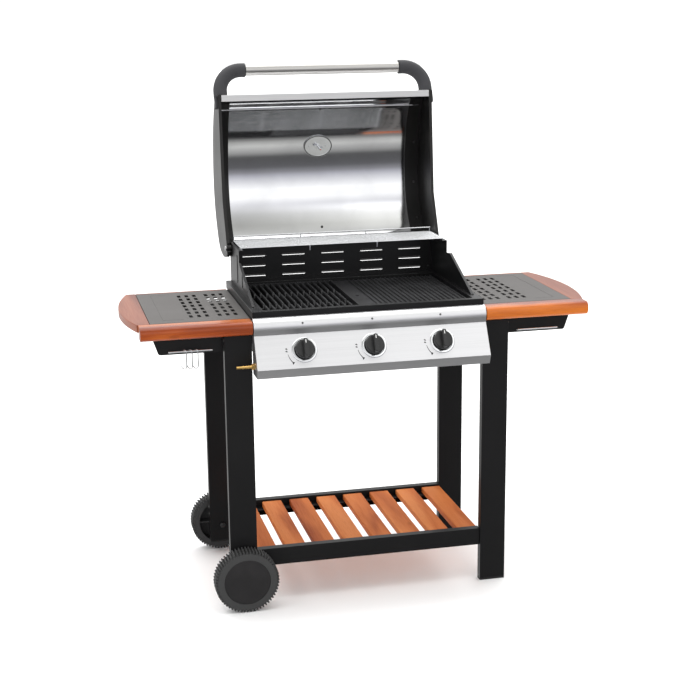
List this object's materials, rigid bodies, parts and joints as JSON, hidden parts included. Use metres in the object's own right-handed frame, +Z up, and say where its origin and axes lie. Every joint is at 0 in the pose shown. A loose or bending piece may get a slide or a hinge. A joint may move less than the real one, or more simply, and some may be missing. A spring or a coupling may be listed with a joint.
{
  "type": "gas barbecue grill",
  "caption": "Trolley gas barbecue with hinged hood, control knobs, cooking grate and griddle, warming rack, slotted side shelves with wooden rails, slatted lower shelf and wheels.",
  "frame": {"origin": "on the floor, under the centre of the bounding box", "axes": "+Z up, the front with the knobs faces -Y, +X to the right seen from the front; the wheels are on the -X side"},
  "size_m": [1.3598, 0.7668, 1.5116],
  "materials": {
    "frame_paint": "satin black powder coat",
    "black_plastic": "moulded matte",
    "firebox_paint": "satin black enamel",
    "cap_paint": "satin black enamel",
    "slat_wood": "oiled",
    "rail_wood": "gloss varnish",
    "end_wood": "satin varnish",
    "screw_steel": "zinc plated",
    "wheel_plastic": "moulded matte",
    "hub_plastic": "moulded matte",
    "panel_steel": "brushed",
    "lid_steel": "polished",
    "aluminised_steel": "dull",
    "tap_metal": "die cast",
    "ceramic": "glazed",
    "brass": "turned",
    "chrome_plate": "bright",
    "knob_plastic": "satin",
    "elbow_plastic": "moulded satin",
    "iron_enamel": "matt black enamel",
    "needle_paint": "gloss",
    "shelf_paint": "warm grey powder coat"
  },
  "bodies": {
    "cart": {"leg_front_left": "frame_paint", "leg_front_right": "frame_paint", "leg_back_left": "frame_paint", "leg_back_right": "frame_paint", "leg_plugs": "black_plastic", "shelf_rail_front": "frame_paint", "shelf_rail_back": "frame_paint", "shelf_slats": "slat_wood", "firebox_bearers": "frame_paint", "wheel_bolts": "screw_steel", "firebox_tub": "firebox_paint", "firebox_rim": "firebox_paint", "side_plate_left": "firebox_paint", "side_plate_right": "firebox_paint", "back_panel": "firebox_paint", "control_panel": "panel_steel", "burners": "aluminised_steel", "flame_tamers": "firebox_paint", "igniters": "ceramic", "manifold": "panel_steel", "gas_taps": "tap_metal", "hose_tail": "brass", "knob_bezels": "chrome_plate", "hinge_pins": "screw_steel", "shelf_plate_left": "shelf_paint", "shelf_plate_right": "shelf_paint", "wood_rail_left": "rail_wood", "wood_rail_right": "rail_wood", "wood_ends": "end_wood", "wood_back_strips": "end_wood", "shelf_brackets": "frame_paint", "towel_rails": "chrome_plate", "frame_screws": "screw_steel"},
    "lid": {"lid_sheet": "lid_steel", "lid_cap_left": "cap_paint", "lid_cap_right": "cap_paint", "lid_trim": "panel_steel", "handle_tube": "panel_steel", "handle_elbows": "elbow_plastic", "thermometer_case": "chrome_plate", "thermometer_plate": "chrome_plate", "lid_screws": "screw_steel"},
    "needle": {"thermometer_needle": "needle_paint"},
    "front_wheel": {"wheel_front": "wheel_plastic", "hub_cap_front": "hub_plastic"},
    "back_wheel": {"wheel_back": "wheel_plastic", "hub_cap_back": "hub_plastic"},
    "left_plug": {"tap_plug_left": "brass"},
    "middle_plug": {"tap_plug_middle": "brass"},
    "right_plug": {"tap_plug_right": "brass"},
    "left_knob": {"knob_left": "knob_plastic"},
    "middle_knob": {"knob_middle": "knob_plastic"},
    "right_knob": {"knob_right": "knob_plastic"},
    "tray": {"drip_tray": "aluminised_steel"},
    "grate_body": {"grate": "iron_enamel"},
    "griddle_body": {"griddle": "iron_enamel"},
    "rack": {"warming_rack": "chrome_plate"},
    "outer_hook": {"hook_outer": "chrome_plate"},
    "middle_hook": {"hook_middle": "chrome_plate"},
    "inner_hook": {"hook_inner": "chrome_plate"}
  },
  "joints": [
    {"name": "lid_hinge", "type": "hinge", "parent": "cart", "child": "lid", "pos_m": [0, 0.14297, 0.97], "axis": [1, 0, 0], "range_deg": [0, 112.5]},
    {"name": "needle_turn", "type": "hinge", "parent": "lid", "child": "needle", "pos_m": [0, 0.36187, 1.246], "axis": [0, 0.9845, 0.1754], "range_deg": [-250, 0], "stiffness_Nm_per_rad": 0.0005},
    {"name": "front_wheel_spin", "type": "hinge", "parent": "cart", "child": "front_wheel", "pos_m": [-0.375, -0.32203, 0.092], "axis": [0, 1, 0], "continuous": true},
    {"name": "back_wheel_spin", "type": "hinge", "parent": "cart", "child": "back_wheel", "pos_m": [-0.375, 0.18497, 0.092], "axis": [0, 1, 0], "continuous": true},
    {"name": "left_tap_turn", "type": "hinge", "parent": "cart", "child": "left_plug", "pos_m": [-0.1984, -0.34313, 0.761], "axis": [0, -0.875, 0.4842], "range_deg": [0, 200]},
    {"name": "left_knob_push", "type": "slide", "parent": "left_plug", "child": "left_knob", "axis": [0, 0.875, -0.4842], "range_m": [0, 0.004], "stiffness_N_per_m": 800, "springref_m": -0.002},
    {"name": "middle_tap_turn", "type": "hinge", "parent": "cart", "child": "middle_plug", "pos_m": [0, -0.34313, 0.761], "axis": [0, -0.875, 0.4842], "range_deg": [0, 200]},
    {"name": "middle_knob_push", "type": "slide", "parent": "middle_plug", "child": "middle_knob", "axis": [0, 0.875, -0.4842], "range_m": [0, 0.004], "stiffness_N_per_m": 800, "springref_m": -0.002},
    {"name": "right_tap_turn", "type": "hinge", "parent": "cart", "child": "right_plug", "pos_m": [0.1984, -0.34313, 0.761], "axis": [0, -0.875, 0.4842], "range_deg": [0, 200]},
    {"name": "right_knob_push", "type": "slide", "parent": "right_plug", "child": "right_knob", "axis": [0, 0.875, -0.4842], "range_m": [0, 0.004], "stiffness_N_per_m": 800, "springref_m": -0.002},
    {"name": "tray_slide", "type": "slide", "parent": "cart", "child": "tray", "axis": [0, 1, 0], "range_m": [0, 0.3]},
    {"name": "grate_lift", "type": "slide", "parent": "cart", "child": "grate_body", "axis": [0, 0, 1], "range_m": [0, 0.09]},
    {"name": "griddle_lift", "type": "slide", "parent": "cart", "child": "griddle_body", "axis": [0, 0, 1], "range_m": [0, 0.09]},
    {"name": "rack_lift", "type": "slide", "parent": "cart", "child": "rack", "axis": [0, 0, 1], "range_m": [0, 0.015]},
    {"name": "outer_hook_swing", "type": "hinge", "parent": "cart", "child": "outer_hook", "pos_m": [-0.522, -0.28403, 0.764], "axis": [1, 0, 0], "range_deg": [-70, 35]},
    {"name": "middle_hook_swing", "type": "hinge", "parent": "cart", "child": "middle_hook", "pos_m": [-0.506, -0.28403, 0.764], "axis": [1, 0, 0], "range_deg": [-70, 35]},
    {"name": "inner_hook_swing", "type": "hinge", "parent": "cart", "child": "inner_hook", "pos_m": [-0.49, -0.28403, 0.764], "axis": [1, 0, 0], "range_deg": [-70, 35]}
  ]
}
